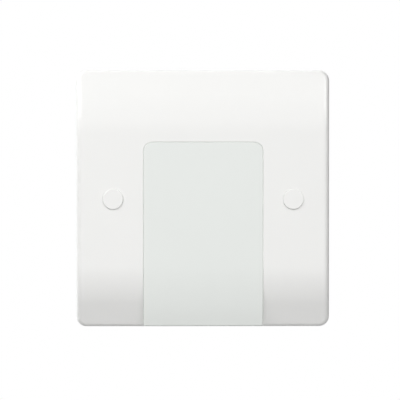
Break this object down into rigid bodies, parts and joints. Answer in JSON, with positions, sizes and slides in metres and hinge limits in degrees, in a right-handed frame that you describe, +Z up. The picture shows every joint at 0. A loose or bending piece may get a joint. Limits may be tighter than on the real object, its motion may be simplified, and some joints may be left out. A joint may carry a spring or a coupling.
{
  "type": "cooker connection unit",
  "caption": "Square white face plate with bent top and bottom, a centre cable hood, screw caps, and a carrier with pillar terminals and a cable clamp behind it.",
  "frame": {"origin": "middle of the plate on the wall plane, midway between the two fixing screws", "axes": "+X to the right seen from the front, +Y back into the wall along the fixing screws, +Z up"},
  "size_m": [0.086, 0.0351, 0.087],
  "materials": {
    "plate": "gloss moulded",
    "cover": "satin moulded",
    "cap": "gloss moulded",
    "base": "matt moulded",
    "clamp": "matt moulded",
    "brass": "machined",
    "terminal_screw": "turned",
    "fixing_screw": "bright plated",
    "small_screw": "zinc plated"
  },
  "bodies": {
    "unit": {"front_plate": "plate", "cable_cover": "cover", "terminal_base": "base", "fixing_screw_left": "fixing_screw", "clamp_insert_left": "brass", "base_screw_top_left": "small_screw", "base_screw_bottom_left": "small_screw", "fixing_screw_right": "fixing_screw", "clamp_insert_right": "brass", "base_screw_top_right": "small_screw", "base_screw_bottom_right": "small_screw", "live_terminal": "brass", "neutral_terminal": "brass", "earth_terminal": "brass"},
    "live_supply_screw": {"live_supply_screw": "terminal_screw"},
    "live_load_screw": {"live_load_screw": "terminal_screw"},
    "neutral_supply_screw": {"neutral_supply_screw": "terminal_screw"},
    "neutral_load_screw": {"neutral_load_screw": "terminal_screw"},
    "earth_supply_screw": {"earth_supply_screw": "terminal_screw"},
    "earth_load_screw": {"earth_load_screw": "terminal_screw"},
    "cable_clamp": {"clamp_bar": "clamp", "clamp_screw_left": "small_screw", "clamp_screw_right": "small_screw"},
    "screw_cap_left": {"screw_cap_left": "cap"},
    "screw_cap_right": {"screw_cap_right": "cap"}
  },
  "joints": [
    {"name": "live_supply_screw_travel", "type": "slide", "parent": "unit", "child": "live_supply_screw", "axis": [0, -1, 0], "range_m": [0, 0.006]},
    {"name": "live_load_screw_travel", "type": "slide", "parent": "unit", "child": "live_load_screw", "axis": [0, -1, 0], "range_m": [0, 0.006]},
    {"name": "neutral_supply_screw_travel", "type": "slide", "parent": "unit", "child": "neutral_supply_screw", "axis": [0, -1, 0], "range_m": [0, 0.006]},
    {"name": "neutral_load_screw_travel", "type": "slide", "parent": "unit", "child": "neutral_load_screw", "axis": [0, -1, 0], "range_m": [0, 0.006]},
    {"name": "earth_supply_screw_travel", "type": "slide", "parent": "unit", "child": "earth_supply_screw", "axis": [0, -1, 0], "range_m": [0, 0.006]},
    {"name": "earth_load_screw_travel", "type": "slide", "parent": "unit", "child": "earth_load_screw", "axis": [0, -1, 0], "range_m": [0, 0.006]},
    {"name": "cable_clamp_travel", "type": "slide", "parent": "unit", "child": "cable_clamp", "axis": [0, -1, 0], "range_m": [0, 0.0037]},
    {"name": "screw_cap_left_pull", "type": "slide", "parent": "unit", "child": "screw_cap_left", "axis": [0, -1, 0], "range_m": [0, 0.0031]},
    {"name": "screw_cap_right_pull", "type": "slide", "parent": "unit", "child": "screw_cap_right", "axis": [0, -1, 0], "range_m": [0, 0.0031]}
  ]
}
